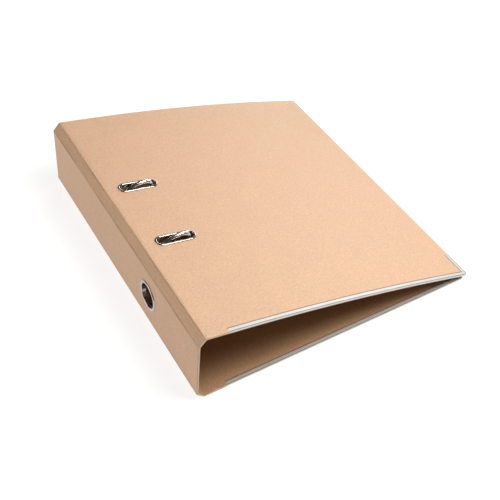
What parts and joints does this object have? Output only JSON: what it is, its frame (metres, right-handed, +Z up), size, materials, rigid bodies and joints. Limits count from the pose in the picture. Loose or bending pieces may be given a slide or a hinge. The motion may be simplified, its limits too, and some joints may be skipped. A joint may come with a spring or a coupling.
{
  "type": "lever arch file",
  "caption": "A4 lever arch file in kraft board with folded spine, metal edge rails, finger ring, slotted cover and a working lever arch mechanism.",
  "frame": {"origin": "on the underside of the back cover, midway between the two posts", "axes": "+X from the spine to the free edge, +Y from the bottom edge to the top edge along the spine, +Z up through the closed file"},
  "size_m": [0.291, 0.318, 0.0755],
  "materials": {
    "kraft_front": "warm kraft paper over board, with fine fibres and a pale cut edge",
    "kraft_back": "warm kraft paper over board, with fine fibres and a pale cut edge",
    "kraft_spine": "warm kraft paper over board, with fine fibres",
    "kraft_strip": "kraft hinge strips, a little rubbed along the creases",
    "edge_rail": "bright nickel on folded sheet steel",
    "eyelet": "bright nickel on pressed steel, polished",
    "backing": "dull nickel",
    "mechanism": "nickel-plated pressed steel, slightly satin",
    "wire": "bright nickel wire",
    "rivet": "bright nickel, hollow rivets",
    "spring": "blued spring steel",
    "pin": "turned steel",
    "roller": "turned steel roller",
    "grip": "black moulded plastic"
  },
  "bodies": {
    "back_cover": {"back_cover_board": "kraft_back", "back_edge_rail": "edge_rail", "base_plate": "mechanism", "post_bottom": "wire", "post_top": "wire", "mechanism_rivets": "rivet", "lever_pin": "pin", "arch_spring": "spring", "spring_rivet": "rivet"},
    "back_strip": {"back_hinge_strip": "kraft_strip"},
    "spine": {"spine_board": "kraft_spine", "finger_ring": "eyelet", "finger_ring_washer": "backing"},
    "front_strip": {"front_hinge_strip": "kraft_strip"},
    "front_cover": {"front_cover_board": "kraft_front", "front_edge_rail": "edge_rail", "slot_eyelet_bottom": "eyelet", "slot_eyelet_top": "eyelet", "slot_backing_bottom": "backing", "slot_backing_top": "backing"},
    "arches": {"arch_frame": "wire"},
    "lever": {"lever_arm": "mechanism", "lever_grip": "grip", "roller_pin": "pin"},
    "roller": {"roller": "roller"},
    "compressor": {"compressor_bar": "mechanism", "clamp_spring_bottom": "spring", "clamp_spring_top": "spring", "clamp_rivets": "rivet"}
  },
  "joints": [
    {"name": "case_opening", "type": "hinge", "parent": "back_cover", "child": "back_strip", "pos_m": [-0.04929, 0, 0], "axis": [0, -1, 0], "range_deg": [0, 45]},
    {"name": "spine_foot_crease", "type": "hinge", "parent": "back_strip", "child": "spine", "pos_m": [-0.0565, 0, 0.00721], "axis": [0, -1, 0], "range_deg": [0, 48.7]},
    {"name": "spine_head_crease", "type": "hinge", "parent": "spine", "child": "front_strip", "pos_m": [-0.05256, 0, 0.06809], "axis": [0, -1, 0], "range_deg": [0, 39.6]},
    {"name": "front_cover_crease", "type": "hinge", "parent": "front_strip", "child": "front_cover", "pos_m": [-0.04557, 0, 0.07551], "axis": [0, -1, 0], "range_deg": [0, 57]},
    {"name": "lever_lift", "type": "hinge", "parent": "back_cover", "child": "lever", "pos_m": [-0.024, 0.004, 0.023], "axis": [-1, 0, 0], "range_deg": [0, 94]},
    {"name": "arch_swing", "type": "hinge", "parent": "back_cover", "child": "arches", "pos_m": [-0.033, 0, 0.008], "axis": [0, -1, 0], "range_deg": [0, 18]},
    {"name": "roller_spin", "type": "hinge", "parent": "lever", "child": "roller", "pos_m": [-0.024, 0.004, 0.014], "axis": [1, 0, 0], "continuous": true},
    {"name": "compressor_slide", "type": "slide", "parent": "back_cover", "child": "compressor", "axis": [0, 0, 1], "range_m": [0, 0.038]}
  ],
  "couplings": [
    {"joint": "spine_foot_crease", "follows": "case_opening", "ratio": 1.0822},
    {"joint": "spine_head_crease", "follows": "case_opening", "ratio": 0.88},
    {"joint": "front_cover_crease", "follows": "case_opening", "ratio": 1.2666},
    {"joint": "lever_lift", "follows": "case_opening", "ratio": 2.0889},
    {"joint": "arch_swing", "follows": "case_opening", "ratio": 0.4}
  ]
}
